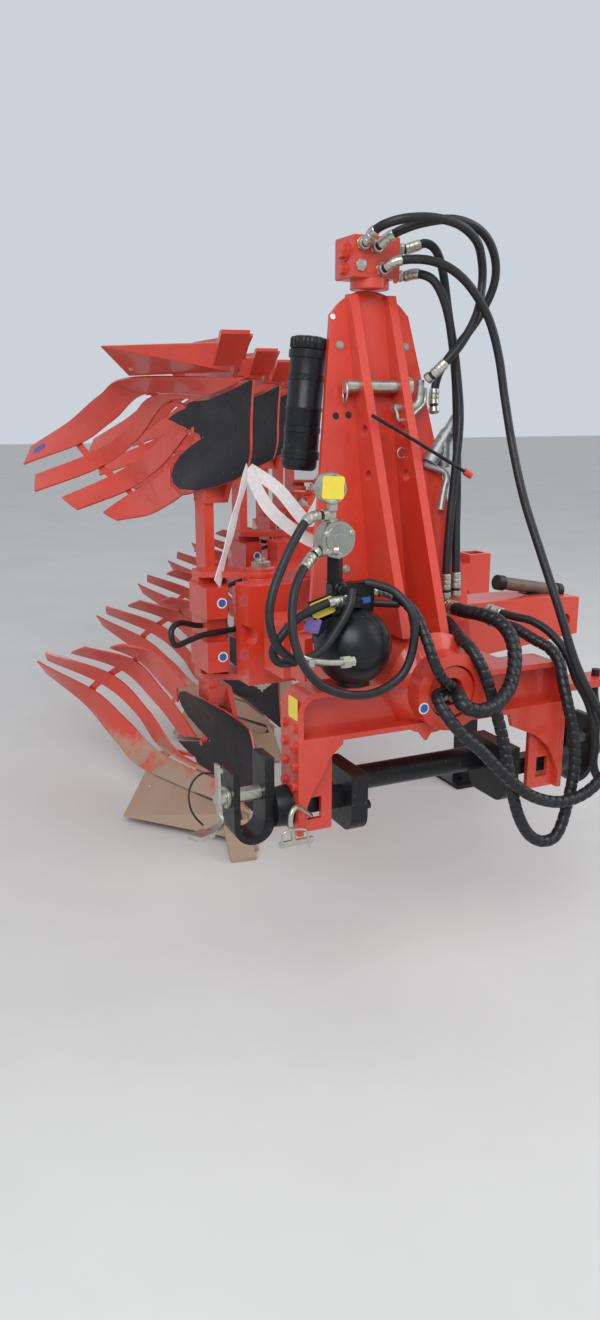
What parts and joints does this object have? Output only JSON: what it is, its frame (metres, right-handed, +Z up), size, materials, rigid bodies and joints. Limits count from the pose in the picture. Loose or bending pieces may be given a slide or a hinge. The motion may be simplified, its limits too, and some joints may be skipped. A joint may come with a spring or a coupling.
{
  "type": "mounted reversible mouldboard plough",
  "caption": "Red mounted reversible mouldboard plough: roll-over headstock with tower, slatted bodies above and below an angled beam, parking stand.",
  "frame": {"origin": "centre of the bounding box at ground level", "axes": "+Z up, -Y towards the tractor, +X to the viewer's right when facing the headstock"},
  "size_m": [2.4761, 5.956, 1.9697],
  "materials": {
    "red_paint": "gloss",
    "black_paint": "satin",
    "zinc_steel": "satin",
    "worn_steel": "satin",
    "hose_rubber": "matte"
  },
  "bodies": {
    "headstock": {"headstock_yoke": "red_paint", "tower": "red_paint", "valve_block": "red_paint", "top_link_pin": "zinc_steel", "cross_shaft": "black_paint", "link_bracket_left": "black_paint", "link_bracket_right": "black_paint", "link_pins": "zinc_steel", "accumulator": "black_paint", "pressure_gauge": "zinc_steel", "canister": "black_paint", "hoses_gauge": "hose_rubber", "hoses_tower": "hose_rubber", "hose_holder": "red_paint"},
    "turnover_frame": {"swing_head": "red_paint", "cross_arm": "red_paint"},
    "turnover_cylinder": {"turnover_barrel": "black_paint"},
    "turnover_piston": {"turnover_rod": "zinc_steel"},
    "plough_beam": {"main_beam": "red_paint", "stand_arm": "red_paint"},
    "stand_leg": {"parking_stand": "red_paint"},
    "width_cylinder": {"width_barrel": "black_paint"},
    "width_piston": {"width_rod": "zinc_steel"},
    "body_pair_1": {"leg_1": "red_paint", "slats_1": "red_paint", "straps_1": "red_paint", "shins_1": "black_paint", "shares_1": "worn_steel"},
    "body_pair_2": {"leg_2": "red_paint", "slats_2": "red_paint", "straps_2": "red_paint", "shins_2": "black_paint", "shares_2": "worn_steel"},
    "body_pair_3": {"leg_3": "red_paint", "slats_3": "red_paint", "straps_3": "red_paint", "shins_3": "black_paint", "shares_3": "worn_steel"},
    "body_pair_4": {"leg_4": "red_paint", "slats_4": "red_paint", "straps_4": "red_paint", "shins_4": "black_paint", "shares_4": "worn_steel"},
    "body_pair_5": {"leg_5": "red_paint", "slats_5": "red_paint", "straps_5": "red_paint", "shins_5": "black_paint", "shares_5": "worn_steel"}
  },
  "joints": [
    {"name": "turnover", "type": "hinge", "parent": "headstock", "child": "turnover_frame", "pos_m": [-0.657, -2.6076, 0.89], "axis": [0, -1, 0], "range_deg": [0, 180]},
    {"name": "turnover_barrel_swing", "type": "hinge", "parent": "headstock", "child": "turnover_cylinder", "pos_m": [-0.657, -2.4816, 1.44], "axis": [0, 1, 0], "range_deg": [0, 24.7]},
    {"name": "turnover_rod_slide", "type": "slide", "parent": "turnover_cylinder", "child": "turnover_piston", "axis": [0.2132, 0, -0.977], "range_m": [-0.133, 0]},
    {"name": "working_width", "type": "hinge", "parent": "turnover_frame", "child": "plough_beam", "pos_m": [-0.595, -2.0576, 0.89], "axis": [0, 0, 1], "range_deg": [-7.9, 1.8]},
    {"name": "stand_lift", "type": "slide", "parent": "plough_beam", "child": "stand_leg", "axis": [0, 0, 1], "range_m": [0, 0.3]},
    {"name": "width_barrel_swing", "type": "hinge", "parent": "turnover_frame", "child": "width_cylinder", "pos_m": [-0.017, -2.1876, 0.89], "axis": [0, 0, 1], "range_deg": [-12, 4]},
    {"name": "width_rod_slide", "type": "slide", "parent": "width_cylinder", "child": "width_piston", "axis": [-0.5495, 0.8355, 0], "range_m": [-0.09, 0.03]},
    {"name": "body_pivot_1", "type": "hinge", "parent": "plough_beam", "child": "body_pair_1", "pos_m": [-0.777, -2.0376, 0.89], "axis": [0, 0, 1], "range_deg": [-2, 8.1]},
    {"name": "body_pivot_2", "type": "hinge", "parent": "plough_beam", "child": "body_pair_2", "pos_m": [-0.303, -1.1726, 0.89], "axis": [0, 0, 1], "range_deg": [-2, 8.1]},
    {"name": "body_pivot_3", "type": "hinge", "parent": "plough_beam", "child": "body_pair_3", "pos_m": [0.171, -0.3076, 0.89], "axis": [0, 0, 1], "range_deg": [-2, 8.1]},
    {"name": "body_pivot_4", "type": "hinge", "parent": "plough_beam", "child": "body_pair_4", "pos_m": [0.645, 0.5574, 0.89], "axis": [0, 0, 1], "range_deg": [-2, 8.1]},
    {"name": "body_pivot_5", "type": "hinge", "parent": "plough_beam", "child": "body_pair_5", "pos_m": [1.119, 1.4224, 0.89], "axis": [0, 0, 1], "range_deg": [-2, 8.1]}
  ],
  "couplings": [
    {"joint": "turnover_barrel_swing", "follows": "turnover", "ratio": 0.13667},
    {"joint": "width_barrel_swing", "follows": "working_width", "ratio": 0.3479},
    {"joint": "width_rod_slide", "follows": "working_width", "m_per_rad": 0.4193},
    {"joint": "body_pivot_1", "follows": "working_width", "ratio": -1},
    {"joint": "body_pivot_2", "follows": "working_width", "ratio": -1},
    {"joint": "body_pivot_3", "follows": "working_width", "ratio": -1},
    {"joint": "body_pivot_4", "follows": "working_width", "ratio": -1},
    {"joint": "body_pivot_5", "follows": "working_width", "ratio": -1}
  ]
}
